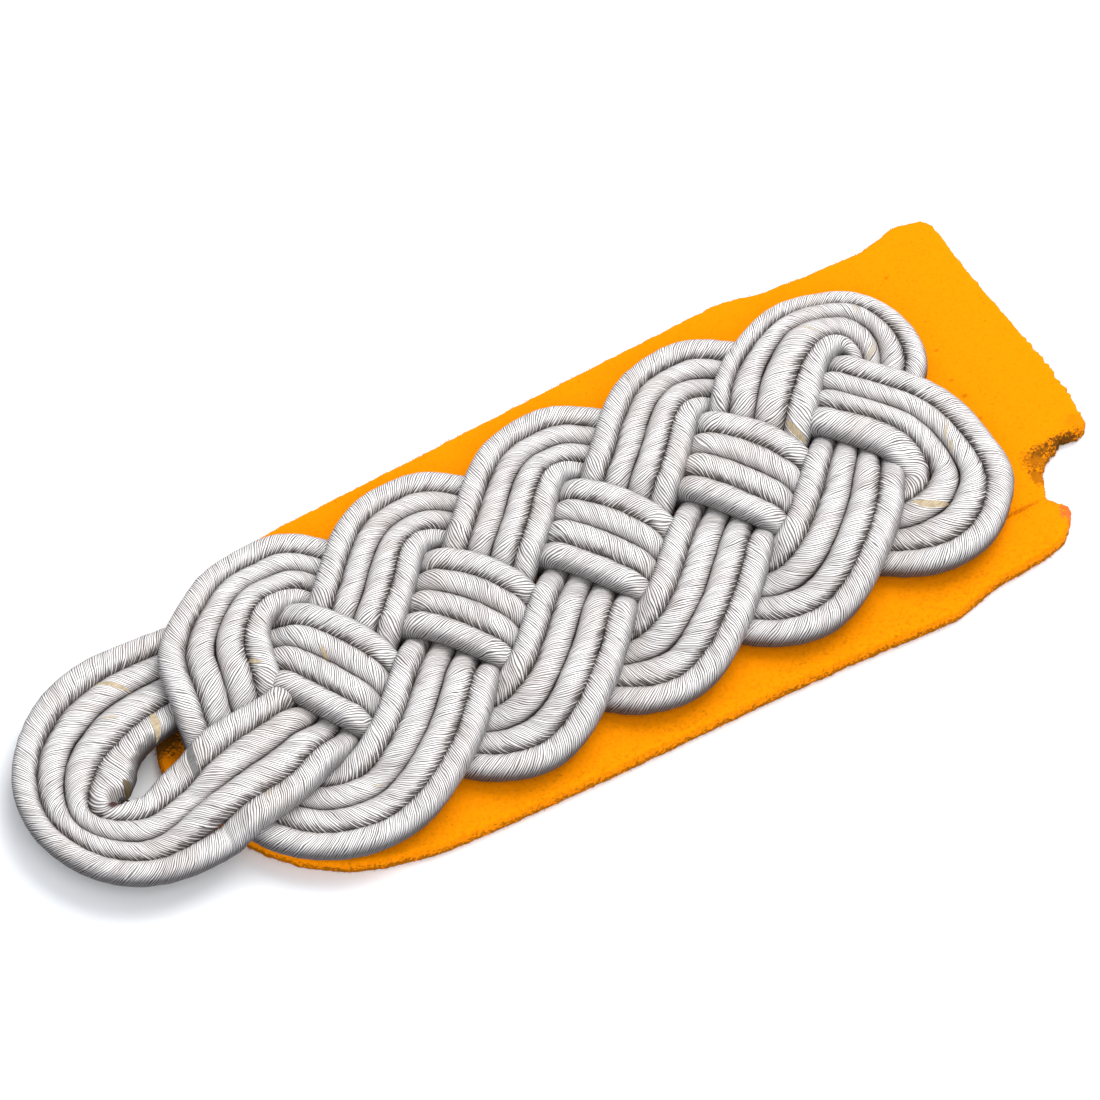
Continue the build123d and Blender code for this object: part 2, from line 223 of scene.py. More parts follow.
# Loose wool fibres
edge_fibres = 6500         # how many stand on the felt's edge
top_fibres = 4500          # how many lie on its top
edge_roots = (0.03, 0.95)  # where up the wall those of the edge start, as a share of its height
top_inset = (0.3, 9)       # how far from the edge those of the top start
root_depth = 0.12          # how deep in the felt a fibre starts
fibre_length = (0.16, 0.45)
top_length_share = 0.9     # length of those of the top, as a share of it
fibre_radius = (0.014, 0.026)
edge_stray = (0.55, 0.55, 0.44)  # how far those of the edge stray from straight out, in x, y and z
top_stray = (1, 1, 0.25)   # how far the directions of those of the top differ
top_lift = (0, 0, 0.12)    # how much they rise on the whole
bend_stray, bend_share = 0.45, 0.6    # how far a fibre bends, and how much of that its tip shows
knee_place, knee_width = 0.55, 0.8    # where along a fibre its knee is, and its width there
askew = (0.31, 0.17, 0.93)       # a direction that hardly any fibre has

# Fields of waves: how many waves, the shortest length and the longest
WOUND_BULGES = (9, 0.8, 2.6)
BROAD_BULGES = (7, 5, 16)
EDGE_WAVES = (24, 0.6, 4)
SWELLINGS = (10, 2.5, 14)
NAP_WAVES = (24, 0.6, 1.6)
WALL_WAVES = (24, 0.35, 1.1)

# Crossings that repeat along the board, copy k standing k pitches further on, with the strand's
# middle where it goes over and where it goes under:
# name, pass, first copy, last copy, x of copy 0, y, heading, spread.
# A heading is in degrees from +X. A spread is the distance from cord to cord, or, where the cords
# aren't evenly wide, the places of their edges from the bundle's left to its right.
REPEATED_CROSSINGS = [
    ("left", "over", 2, 4, 12.0, 8.3, 47, 2.75),
    ("left", "under", 3, 5, 12.0, 8.3, -42, 2.7),
    ("centre", "over", 2, 4, 20.2, 0.0, -55, 3.15),
    ("centre", "under", 2, 4, 20.2, 0.0, 40, 2.8),
    ("right", "over", 1, 4, 27.0, -10.9, 44, 3.15),
    ("right", "under", 1, 4, 27.0, -10.9, -42, 2.7),
]

# Crossings at the two ends, where the plait opens into its loops: name, pass, x, y, heading, spread
END_CROSSINGS = [
    ("left 1", "over", 27.3, 7.2, 77, 3.4),
    ("left 1", "under", 27.6, 9.5, -6, 2.8),
    ("left 2", "under", 46.5, 8.3, -50, 2.8),
    ("left 5", "over", 99.4, 7.0, 47, (7.0, 4.9, 1.95, -1.75, -5.2)),
    ("centre 1", "over", 38.0, 0.6, -62, 3.2),
    ("centre 1", "under", 38.0, 0.6, 30, 2.8),
    ("centre 5", "over", 106.6, 1.3, -48, (5.0, 2.45, 0, -2.1, -5.8)),
    ("centre 5", "under", 107.0, 0.8, 48, 2.3),
    ("right 0", "over", 24.5, -6.8, 7, 3.7),
    ("right 0", "under", 24.5, -6.8, -93, 3.0),
]

# Lobes that repeat along the two edges: name, first, last, x of copy 0, y, heading, spread, height
REPEATED_LOBES = [
    ("lobe left", 2, 4, 21.2, 13.9, -2, 2.5, middle - 0.2),
    ("lobe right", 2, 4, 17.6, -16.2, -2, 3.4, middle - 0.6),
]

# Lobes at the two ends and the buttonhole loop: points of x, y, heading, spread, height
END_LOBES = {
    "lobe left 1": [(32.4, 12.8, 36, 2.5, middle + 0.4), (39.6, 14.7, 0, 2.4, middle - 0.2)],
    "lobe right 1": [(33.6, -16.4, 0, 3.1, middle - 0.6)],
    "lobe left 5": [
        (104.1, 12.0, 25, (4.75, 2.7, 0.8, -2.75, -5.4), middle + 0.2),
        (110.1, 12.2, -20, (4.1, 2.4, 0.9, -1.7, -4.4), middle - 0.2),
        (112.9, 9.6, -72, (3.8, 1.95, -0.1, -2.7, -4.2), middle - 0.2),
        (112.8, 5.0, -120, (4.4, 1.9, -1.0, -2.7, -4.4), middle - 0.8),
    ],
    "lobe right 5": [
        (107.2, -15.4, 14, (6.0, 3.2, -0.3, -4.0, -7.0), middle - 0.2),
        (111.3, -12.6, 54, (6.2, 2.85, -0.25, -3.3, -6.3), middle - 0.2),
        (112.1, -8.6, 88, (6.6, 2.9, 0.2, -2.3, -5.1), middle + 0.4),
    ],
    "leg": [(32.3, -4.9, 16, 3.0, None)],
    "loop": [
        (11.6, 8.5, 203, (7.6, 4.4, 0.5, -2.9, -6.3), middle - loop_droop),
        (5.9, 3.4, 238, (7.9, 3.0, -0.25, -3.35, -6.1), middle - loop_droop),
        (4.8, -2.9, 287, (5.2, 0.9, -1.2, -3.2, -5.6), middle - loop_droop),
        (9.3, -7.6, 336, (4.5, 1.9, -1.1, -3.7, -6.4), middle - loop_droop),
        (16.0, -8.1, 6, (6.3, 2.9, -0.1, -3.3, -6.9), middle - loop_droop / 2),
    ],
}

# Edge of the felt underlay seen from above: the rounded loop end, the left edge, the ragged sleeve
# end with its notch, and the right edge, as x, y
FELT_OUTLINE = [
    (16.2, -2.5), (16.8, 2), (19, 6.5), (22, 11), (25.8, 15.4), (30.5, 19), (35.5, 21.3),
    (44, 22.1), (60, 22.4), (84, 22.9), (101, 23.2), (103, 22.9), (106, 22), (113, 21.4), (119, 21.1),
    (123.6, 22.2), (126.9, 21.3), (127.5, 20), (127.6, 14), (128.4, 4), (129, -4), (129, -7.4),
    (128.6, -10.6), (127.6, -12.3), (124.4, -11.8), (122.4, -13.2), (120.6, -14.8), (120.2, -16.4),
    (119.4, -18), (121.4, -20.6), (120.2, -21.9), (118.7, -23.4), (116.5, -24), (109, -24.7),
    (103, -26.2), (93, -25.5), (80, -25), (60, -24.8), (46, -24.4), (38, -23.9), (32, -22.5),
    (28, -20.9), (24, -17.9), (21, -14.2), (18, -8),
]

# The way of the strand through the knot. A crossing says whether the strand goes over or under,
# and "back" marks what it travels against the heading of the table.
ROUTE = """
centre 5 under, lobe left 5 back, left 5 over back, centre 4 under back, right 3 over back,
lobe right 3 back, right 2 under back, centre 2 over back, left 2 under back, lobe left 1 back,
left 1 over back, right 0 under, lobe right 1, right 1 over, centre 2 under, left 3 over,
lobe left 3, left 4 under, centre 4 over, right 4 under, lobe right 5, centre 5 over back,
left 5 under back, lobe left 4 back, left 4 over back, centre 3 under back, right 2 over back,
lobe right 2 back, right 1 under back, centre 1 over back, left 1 under back, loop,
right 0 over, leg, centre 1 under, left 2 over, lobe left 2, left 3 under, centre 3 over,
right 3 under, lobe right 4, right 4 over, centre 5 under
"""


def crossing_table():
    """Every pass of a crossing by name and pass, as x, y, heading, spread."""
    table = {}
    for name, over, first, last, x, *rest in REPEATED_CROSSINGS:
        for k in range(first, last + 1):
            table[f"{name} {k}", over] = (x + k * plait_pitch, *rest)
    for name, over, *row in END_CROSSINGS:
        table[name, over] = tuple(row)
    return table


def lobe_table():
    """Every lobe by name, as its list of points."""
    table = dict(END_LOBES)
    for name, first, last, x, *rest in REPEATED_LOBES:
        for k in range(first, last + 1):
            table[f"{name} {k}"] = [(x + k * plait_pitch, *rest)]
    return table


def cord_edges(spread, back):
    """The places of the cords' edges across the strand, as it travels, from left to right."""
    if not isinstance(spread, tuple):
        return spread * (cord_count / 2 - np.arange(cord_count + 1))
    return -np.array(spread[::-1]) if back else np.array(spread)


def stations():
    """The strand's stations in order: x, y, heading, edges, height, crossing name, goes over."""
    crossings = crossing_table()
    lobes = lobe_table()
    rows = []
    for entry in ROUTE.split(","):
        place, back = entry.strip().removesuffix(" back"), entry.endswith(" back")
        name, gap, over = place.rpartition(" ")
        if (name, over) in crossings:
            points, crossing = [(*crossings[name, over], None)], (name, over == "over")
        else:
            points, crossing = lobes[place], (None, None)
        turn = 180 if back else 0
        for x, y, heading, spread, height in (points[::-1] if back else points):
            rows.append((x, y, heading + turn, cord_edges(spread, back), height, *crossing))
    return rows


def smoothstep(t):
    """An even rise from 0 to 1, level at both ends and beyond them."""
    t = np.clip(t, 0, 1)
    return t * t * (3 - 2 * t)


def unit(directions):
    """The same directions, each with length 1."""
    return directions / np.linalg.norm(directions, axis=1)[:, None]


def plan_line(cord, rows):
    """One cord's line seen from above, and the sample at which it passes each station.

    The cord keeps its place in the bundle, across the heading of each station, and runs from
    station to station on a cubic curve that follows both headings.
    """
    t = np.linspace(0, 1, samples_per_span, endpoint=False)[:, None]
    headings = np.radians([row[2] for row in rows])
    along = np.column_stack([np.cos(headings), np.sin(headings)])
    across = np.column_stack([-along[:, 1], along[:, 0]])
    aside = np.array([(row[3][cord] + row[3][cord + 1]) / 2 for row in rows])
    points = np.array([row[:2] for row in rows]) + across * aside[:, None]
    line = []
    for start in range(len(rows) - 1):
        p, q = points[start], points[start + 1]
        turn = abs((headings[start + 1] - headings[start] + math.pi) % (2 * math.pi) - math.pi)
        pull = np.linalg.norm(q - p) / math.cos(turn / 4) ** 2
        line.append((1 + 2 * t) * (1 - t) ** 2 * p + t * (1 - t) ** 2 * pull * along[start])
        line[-1] += t ** 2 * (3 - 2 * t) * q - t ** 2 * (1 - t) * pull * along[start + 1]
    line.append(points[-1:])
    return soften(np.vstack(line)), np.arange(len(rows)) * samples_per_span


def travelled(line):
    """How far each sample lies along its line."""
    return np.concatenate([[0], np.cumsum(np.linalg.norm(np.diff(line[:, :3], axis=0), axis=1))])


def soften_values(line, values):
    """Values along a line, each made a bell-shaped mean of its neighbours."""
    way = travelled(line)
    apart = (way[:, None] - way[None]) / cord_stiffness
    share = np.exp(-apart ** 2 / 2) * np.gradient(way)
    return share @ values / share.sum(axis=1, keepdims=True)


def soften(line):
    """A line with its sharp bends rounded off and its ends kept."""
    soft = soften_values(line, line)
    soft[[0, -1]] = line[[0, -1]]
    return soft


def crossing_marks(lines, passes, rows):
    """For each cord the samples at which it crosses another one, with its height there.

    They are looked for between the station before the crossing and the one after it.
    """
    reach = {}
    for cord, line in enumerate(lines):
        for row, sample in zip(rows, passes[cord]):
            if row[5] is not None:
                start = max(0, sample - samples_per_span)
                near = range(start, min(len(line), sample + samples_per_span + 1))
                reach.setdefault((cord, row[5], row[6]), []).extend(near)
    marks = [{0: low, len(line) - 1: low} for line in lines]
    for name in {name for name, over in crossing_table()}:
        for upper in range(cord_count):
            for lower in range(cord_count):
                above = np.array(reach[upper, name, True])
                below = np.array(reach[lower, name, False])
                apart = lines[upper][above][:, None] - lines[lower][below][None]
                a, b = np.unravel_index(np.argmin((apart ** 2).sum(axis=2)), apart.shape[:2])
                marks[upper][above[a]] = high
                marks[lower][below[b]] = low
    return marks


def raise_lines(lines, passes, rows):
    """Gives the cords their heights: high or low where two cross, and an even slope between."""
    raised = []
    for line, stops, heights in zip(lines, passes, crossing_marks(lines, passes, rows)):
        way = travelled(line)
        crossed = way[sorted(heights)]
        for row, sample in zip(rows, stops):
            if row[4] is not None and np.abs(crossed - way[sample]).min() > crossing_room:
                heights[sample] = row[4]
        samples = sorted(heights)
        z = np.empty(len(line))
        for start, end in zip(samples[:-1], samples[1:]):
            t = (way[start:end + 1] - way[start]) / (way[end] - way[start])
            z[start:end + 1] = heights[start] + (heights[end] - heights[start]) * smoothstep(t)
        raised.append(np.column_stack([line, z]))
    return raised


def cord_lines():
    """The middle lines of all the cords."""
    rows = stations()
    made = [plan_line(cord, rows) for cord in range(cord_count)]
    return raise_lines([line for line, stops in made], [stops for line, stops in made], rows)


def even_line(line, spacing):
    """The same line with evenly spaced points, and how far along it each of them lies."""
    way = travelled(line)
    places = np.linspace(0, way[-1], math.ceil(way[-1] / spacing) + 1)
    return np.column_stack([np.interp(places, way, column) for column in line.T]), places


def half_widths(cord, rows, is_free=False):
    """Half the distance between a cord's two edges, at every sample of its line.

    A free side has it only where the strand's cords are unevenly wide, and is round elsewhere.
    """
    halves = [(row[3][cord] - row[3][cord + 1]) / 2 for row in rows]
    if is_free:
        halves = np.where([np.ptp(np.diff(row[3])) > 1e-6 for row in rows], halves, free_half)
    samples = np.arange((len(rows) - 1) * samples_per_span + 1)
    return np.interp(samples / samples_per_span, np.arange(len(rows)), halves)


def room_beside(lines, rows, cord, neighbour):
    """What a cord fills of the distance to the cord that runs beside it, or to no cord at all."""
    if not 0 <= neighbour < cord_count:
        return soften_values(lines[cord], half_widths(cord, rows, is_free=True)[:, None])[:, 0]
    here, there = lines[cord][:, :2], lines[neighbour][:, :2]
    apart = np.linalg.norm(here[:, None] - there[None], axis=2)
    sample = np.arange(len(here))
    apart[np.abs(sample[:, None] - sample[None]) > samples_per_span] = np.inf
    own, other = half_widths(cord, rows), half_widths(neighbour, rows)
    room = (apart.min(axis=1) * own / (own + other) + press_overlap)[:, None]
    return soften_values(lines[cord], np.clip(room, narrowest_half, widest_half))[:, 0]


def turning(line):
    """How sharply a line turns to the left at each sample, seen from above, in 1/mm."""
    speed = np.gradient(line[:, :2], axis=0)
    change = np.gradient(speed, axis=0)
    crossed = speed[:, 0] * change[:, 1] - speed[:, 1] * change[:, 0]
    return crossed / np.maximum(np.linalg.norm(speed, axis=1) ** 3, 1e-9)


def narrowed_in_bends(line, left, right):
    """The half widths on a cord's two sides, the inner one narrowed where the cord bends sharply."""
    bend = soften_values(line, turning(line)[:, None])[:, 0]
    inner = np.maximum(bend_fill / np.maximum(np.abs(bend), 1e-6), narrowest_inner)
    left = np.where(bend > 0, np.minimum(left, inner), left)
    right = np.where(bend < 0, np.minimum(right, inner), right)
    return left, right


def waves(first, second, count, shortest, longest, rng):
    """A smooth random field: a sum of sine waves of random direction, length and phase."""
    total = np.zeros(np.broadcast(first, second).shape)
    for heading, length, phase in zip(
        rng.uniform(0, 2 * math.pi, count),
        np.exp(rng.uniform(math.log(shortest), math.log(longest), count)),
        rng.uniform(0, 2 * math.pi, count),
    ):
        way = first * math.cos(heading) + second * math.sin(heading)
        total += np.sin(2 * math.pi * way / length + phase)
    return total / math.sqrt(count)


def new_object(name, data):
    """A new object at the origin."""
    thing = bpy.data.objects.new(name, data)
    bpy.context.scene.collection.objects.link(thing)
    return thing


def new_mesh(name, vertices, faces):
    """A new piece from an array of points, in millimetres, and a list of faces."""
    mesh = bpy.data.meshes.new(name)
    mesh.from_pydata((np.asarray(vertices) * mm + to_frame).tolist(), [], faces)
    mesh.validate()
    mesh.shade_smooth()
    return new_object(name, mesh)


def point_values(piece, name, values):
    """Keeps one number for each point of a piece, for its material."""
    layer = piece.data.attributes.new(name, "FLOAT", "POINT")
    layer.data.foreach_set("value", np.asarray(values, np.float32).ravel())


def squared(wave):
    """A sine or cosine that stays a little longer near its ends, which squares a section."""
    return np.sign(wave) * np.abs(wave) ** section_power


def hollow(surface, x, y, heading, half_length, half_width):
    """How deep each point of a surface lies in an oval hollow about a place: 0 outside to 1.

    With r the distance from the middle as a share of the oval, it is the smoothstep of 1.6 - 1.2 r.
    """
    turn = math.radians(heading)
    off_x, off_y = surface[..., 0] - x, surface[..., 1] - y
    length = (off_x * math.cos(turn) + off_y * math.sin(turn)) / half_length
    width = (off_y * math.cos(turn) - off_x * math.sin(turn)) / half_width
    return smoothstep(1.6 - 1.2 * np.hypot(length, width))


def across_line(points):
    """The directions to the left and upwards, square to a line, at each of its points."""
    ahead = unit(np.gradient(points, axis=0))
    side = unit(np.cross([0, 0, 1], ahead))
    return side, np.cross(ahead, side)


def cord_surface(number, line, left, right):
    """One cord as rings carried along its middle line, closed at both ends.

    At the angle a round the cord, counted from its underside towards its left, a point lies the
    half width of that side times sin(a) to the side of the middle line and the half height times
    cos(a) below it. Bulges that follow the winding, and broad ones along the cord, move it in or
    out by their share of those sizes.
    """
    left, right = narrowed_in_bends(line, left, right)
    rows, along = even_line(np.column_stack([line, left, right]), ring_spacing)
    kept = (along > end_trim) & (along < along[-1] - end_trim)
    rows, along = rows[kept], along[kept]
    points, left, right = rows[:, :3], rows[:, 3:4], rows[:, 4:5]
    angle = 2 * math.pi * np.arange(ring_sides) / ring_sides
    sine, cosine, around = np.sin(angle)[None], np.cos(angle)[None], angle[None] * cord_diameter / 2
    lean = math.radians(WINDINGS[number][0])
    rng = np.random.default_rng(seed + number)
    wound = along[:, None] - math.tan(lean) * around
    swell = 1 + waves(wound, around / bulge_stretch, *WOUND_BULGES, rng) * bulge_share
    swell += waves(along[:, None], 0 * around, *BROAD_BULGES, rng) * broad_bulge_share
    sideways = squared(sine) * np.where(sine > 0, left, right)
    upwards = -squared(cosine) * cord_half_height
    side, up = across_line(points)
    surface = points[:, None] + (sideways * swell)[:, :, None] * side[:, None]
    surface = surface + (upwards * swell)[:, :, None] * up[:, None]
    is_top = smoothstep(upwards / cord_half_height)
    for dented, *place, depth in DENTS:
        if dented == number:
            surface[:, :, 2] -= depth * hollow(surface, *place) * is_top
    surface[:, :, 2] = np.maximum(surface[:, :, 2], felt_thickness + least_air)

    count = len(points)
    ring, corner = np.meshgrid(np.arange(count - 1), np.arange(ring_sides), indexing="ij")
    ring_of = np.stack([ring, ring, ring + 1, ring + 1], axis=-1).reshape(-1, 4)
    corner_of = np.stack([corner, corner + 1, corner + 1, corner], axis=-1).reshape(-1, 4)
    quads = ring_of * ring_sides + corner_of % ring_sides
    first = np.arange(ring_sides)
    after = (first + 1) % ring_sides
    last, tip = (count - 1) * ring_sides, np.full(ring_sides, count * ring_sides)
    caps = np.vstack([
        np.column_stack([tip, after, first]),
        np.column_stack([tip + 1, last + first, last + after]),
    ])
    vertices = np.vstack([surface.reshape(-1, 3), points[:1], points[-1:]])
    piece = new_mesh(f"silver_cord_{number + 1}", vertices, quads.tolist() + caps.tolist())

    uv = np.zeros((len(piece.data.loops), 2))
    uv[: quads.size, 0] = along[ring_of.ravel()]
    uv[: quads.size, 1] = corner_of.ravel() / ring_sides * math.pi * cord_diameter
    layer = piece.data.uv_layers.new(name="winding")
    layer.data.foreach_set("uv", uv.astype(np.float32).ravel())
    round_cord = {
        "underside": (1 + cosine) / 2,
        "valley": np.where(sine > 0, number > 0, number < cord_count - 1) * np.abs(sine),
        "parted": np.where(sine > 0, number in PARTED_LEFT, number in PARTED_RIGHT) * np.abs(sine),
        "flank": np.abs(sine),
    }
    for name, values in round_cord.items():
        point_values(piece, name, np.append(np.tile(values, (count, 1)), [1, 1]))
    return piece


def felt_edge():
    """The felt's edge with rounded corners, the outward direction there and how far it is ragged."""
    anticlockwise = FELT_OUTLINE[:1] + FELT_OUTLINE[::-1]
    edge, way = even_line(np.array(anticlockwise, float), edge_spacing)
    edge, way = edge[:-1], way[:-1]
    length = way[-1] + way[1]
    apart = np.abs(way[:, None] - way[None])
    share = np.exp(-(np.minimum(apart, length - apart) / corner_softness) ** 2 / 2)
    edge = share @ edge / share.sum(axis=1, keepdims=True)
    ahead = np.roll(edge, -1, axis=0) - np.roll(edge, 1, axis=0)
    out = unit(np.column_stack([ahead[:, 1], -ahead[:, 0]]))
    turn = 2 * math.pi * way / length
    round_x, round_y = length / (2 * math.pi) * np.cos(turn), length / (2 * math.pi) * np.sin(turn)
    ragged = waves(round_x, round_y, *EDGE_WAVES, np.random.default_rng(seed + 20)) * ragged_depth
    to_sleeve = smoothstep((edge[:, 0] - torn_from) / torn_run)
    torn = 1 + torn_extra * to_sleeve * (edge[:, 1] < torn_below)
    return edge, out, (ragged * torn)[:, None]


def fold_line(plan):
    """How deep the felt's fold line lies at points seen from above: a groove of bell section."""
    start, end = fold_ends
    rise = smoothstep((plan[:, 0] - start) / fold_fade)
    fall = smoothstep((end - plan[:, 0]) / fold_fade)
    return fold_depth * (rise * fall) * np.exp(-((plan[:, 1] - fold_y) / fold_half_width) ** 2)


def inside(places, contour):
    """Which places lie inside a closed line: a ray from them crosses it an odd number of times."""
    x, y = places[:, :1], places[:, 1:]
    start, end = contour, np.roll(contour, -1, axis=0)
    spans = (start[:, 1] > y) != (end[:, 1] > y)
    rise = end[:, 1] - start[:, 1]
    slope = (end[:, 0] - start[:, 0]) / np.where(np.abs(rise) < 1e-9, 1e-9, rise)
    crossed = spans & (x < start[:, 0] + slope * (y - start[:, 1]))
    return crossed.sum(axis=1) % 2 == 1


def felt_surface():
    """The felt as a closed sheet.

    Its wall follows the ragged edge and has a round shoulder. Inside the shoulder the top is a net
    of triangles over a shaken grid of points. Their height is the felt's thickness with shallow
    swellings, a fine nap and the groove of the fold line.
    """
    edge, out, ragged = felt_edge()
    rng = np.random.default_rng(seed + 21)
    inner = edge - out * felt_shoulder
    low_corner, high_corner = inner.min(axis=0), inner.max(axis=0)
    grid = np.stack(np.meshgrid(
        np.arange(low_corner[0], high_corner[0], felt_grid),
        np.arange(low_corner[1], high_corner[1], felt_grid),
    ), axis=-1).reshape(-1, 2)
    grid = grid + rng.uniform(-grid_shake, grid_shake, grid.shape) * felt_grid
    grid = grid[inside(grid, inner - out * grid_inset * felt_shoulder)]
    count = len(inner)
    places = [Vector(place) for place in np.vstack([inner, grid]).tolist()]
    border = [(corner, (corner + 1) % count) for corner in range(count)]
    net = geometry.delaunay_2d_cdt(places, border, [list(range(count))], 1, 1e-6)
    plan, triangles = np.array([tuple(place) for place in net[0]]), np.array(net[2])
    x, y = plan.T
    swell = waves(x, y, *SWELLINGS, np.random.default_rng(seed + 22)) * swelling_height
    nap = waves(x, y, *NAP_WAVES, np.random.default_rng(seed + 23)) * nap_height
    top = felt_thickness - top_allowance + swell + nap - fold_line(plan)

    def fuzz(shift):
        """Fine unevenness of one ring of the wall, unlike that of the rings above and below it."""
        return waves(edge[:, 0] * 2, edge[:, 1] + shift, *WALL_WAVES, rng)[:, None] * wall_fuzz

    rings = []
    for step in np.linspace(0, 1, shoulder_rings + 1)[1:] * math.pi / 2:
        ring = inner + out * (felt_shoulder + ragged + fuzz(step)) * math.sin(step)
        rings.append(np.column_stack([ring, top[:count] - felt_shoulder * (1 - math.cos(step))]))
    wall = rings[-1][:, 2]
    for share in WALL_RINGS:
        rings.append(np.column_stack([edge + out * (ragged + fuzz(wall_shift * share)), wall * share]))
    rings.append(np.column_stack([edge + out * (ragged - foot_inset), np.zeros(count)]))
    first = len(plan)
    ring, corner = np.meshgrid(np.arange(len(rings)), np.arange(count), indexing="ij")
    after = (corner + 1) % count
    upper, lower = np.where(ring == 0, 0, first + (ring - 1) * count), first + ring * count
    quads = np.stack([upper + corner, lower + corner, lower + after, upper + after], axis=-1)
    bottom = (first + (len(rings) - 1) * count + np.arange(count))[::-1]
    faces = triangles.tolist() + quads.reshape(-1, 4).tolist() + [bottom.tolist()]
    return new_mesh("felt_underlay", np.vstack([np.column_stack([plan, top])] + rings), faces)


def felt_fuzz():
    """Loose wool fibres: thin bent spikes with a triangular section that stand out of the felt.

    Those of the edge start on its wall and point outwards. Those of the top start near the edge,
    where the plait leaves the felt bare, and lean over in any direction. Each fibre is a foot of
    three points, a knee of three points a little over halfway and a tip.
    """
    rng = np.random.default_rng(seed + 30)
    edge, out, ragged = felt_edge()
    edge = edge + out * ragged
    on_edge = rng.integers(0, len(edge), edge_fibres)
    height = rng.uniform(*edge_roots, edge_fibres) * felt_thickness
    start = np.column_stack([edge[on_edge] - out[on_edge] * root_depth, height])
    aim = np.column_stack([out[on_edge], np.zeros(edge_fibres)])
    aim += rng.normal(0, 1, aim.shape) * edge_stray
    on_top = rng.integers(0, len(edge), top_fibres)
    inset = rng.uniform(*top_inset, (top_fibres, 1))
    top_height = np.full(top_fibres, felt_thickness - root_depth)
    top_start = np.column_stack([edge[on_top] - out[on_top] * inset, top_height])
    top_aim = rng.normal(0, 1, top_start.shape) * top_stray + top_lift
    start, aim = np.vstack([start, top_start]), unit(np.vstack([aim, top_aim]))
    count = len(start)
    shorter = np.where(np.arange(count) < edge_fibres, 1, top_length_share)[:, None]
    reach = rng.uniform(*fibre_length, (count, 1)) * shorter
    bend = rng.normal(0, bend_stray, (count, 3))
    side = unit(np.cross(aim, askew))
    third = np.cross(aim, side)
    radius = rng.uniform(*fibre_radius, (count, 1))
    turns = 2 * math.pi * np.arange(3) / 3
    section = np.cos(turns)[None, :, None] * side[:, None]
    section = section + np.sin(turns)[None, :, None] * third[:, None]
    foot = start[:, None] + section * radius[:, None]
    knee = (start + aim * reach * knee_place)[:, None] + section * radius[:, None] * knee_width
    tip = (start + (aim + bend * bend_share) * reach)[:, None]
    fibres = np.concatenate([foot, knee, tip], axis=1)
    fibres[:, :, 2] = np.maximum(fibres[:, :, 2], 0.01)
    round_fibre = [(corner, (corner + 1) % 3) for corner in range(3)]
    pattern = [[2, 1, 0]]
    pattern += [[corner, after, 3 + after, 3 + corner] for corner, after in round_fibre]
    pattern += [[3 + corner, 3 + after, 6] for corner, after in round_fibre]
    faces = [[corner + 7 * fibre for corner in face] for fibre in range(count) for face in pattern]
    return new_mesh("felt_fuzz", fibres.reshape(-1, 3), faces)


class Signal:
    """A value that changes over a surface. Arithmetic on it adds the nodes that work it out."""

    def __init__(self, socket):
        self.socket = socket

    def __add__(self, other):
        return calc("ADD", self, other)

    def __sub__(self, other):
        return calc("SUBTRACT", self, other)

    def __rsub__(self, other):
        return calc("SUBTRACT", other, self)

    def __mul__(self, other):
        return calc("MULTIPLY", self, other)

    def __truediv__(self, other):
        return calc("DIVIDE", self, other)


def fill(node, inputs):
    """A node with a link for each input that is a signal, and a value for each other one."""
    for name, value in inputs.items():
        if isinstance(value, Signal):
            node.id_data.links.new(value.socket, node.inputs[name])
        else:
            node.inputs[name].default_value = value
    return node


def new_node(kind, inputs, tree=None, **settings):
    """A new shader node with its settings and inputs, in the node tree that these come from."""
    signals = [value for value in inputs.values() if isinstance(value, Signal)]
    node = (tree or signals[0].socket.id_data).nodes.new("ShaderNode" + kind)
    for key, value in settings.items():
        setattr(node, key, value)
    return fill(node, inputs)


def add(kind, inputs, output=0, **settings):
    """One output of a new shader node."""
    return Signal(new_node(kind, inputs, **settings).outputs[output])


def add_group(group, inputs):
    """The outputs of a group placed in a material, with values or links for its named inputs."""
    node = new_node("Group", inputs, node_tree=group)
    return [Signal(socket) for socket in node.outputs]


def calc(operation, first, second=0.0):
    """What an operation makes of one or two numbers."""
    return add("Math", {0: first, 1: second}, operation=operation)


def remap(value, low_in, high_in, low_out=0.0, high_out=1.0):
    """A value mapped smoothly from one range to another, and kept in it."""
    inputs = {0: value, 1: low_in, 2: high_in, 3: low_out, 4: high_out}
    return add("MapRange", inputs, interpolation_type="SMOOTHSTEP")


def tint(share, first, second, way="MIX"):
    """Two colours mixed by a share. A colour of three numbers is made opaque."""
    first, second = [(*given, 1) if isinstance(given, tuple) else given for given in (first, second)]
    inputs = {0: share, 6: first, 7: second}
    return add("Mix", inputs, 2, data_type="RGBA", blend_type=way)


def cloud(place, scale, detail=2.0, rough=0.5):
    """A noise texture's value."""
    inputs = {"Vector": place, "Scale": scale, "Detail": detail, "Roughness": rough}
    return add("TexNoise", inputs)


def lot(value):
    """A random number that is the same wherever the value is the same."""
    return add("TexWhiteNoise", {"W": value}, noise_dimensions="1D")


def vector(x, y, z=0.0):
    """Three numbers as one vector."""
    return add("CombineXYZ", {0: x, 1: y, 2: z})


def part_of(place, axis):
    """A vector's number along the axis X, Y or Z."""
    return add("SeparateXYZ", {0: place}, axis)


def raised(height, strength, distance):
    """A surface's directions where its height changes by at most this distance."""
    return add("Bump", {"Height": height, "Strength": strength, "Distance": distance})


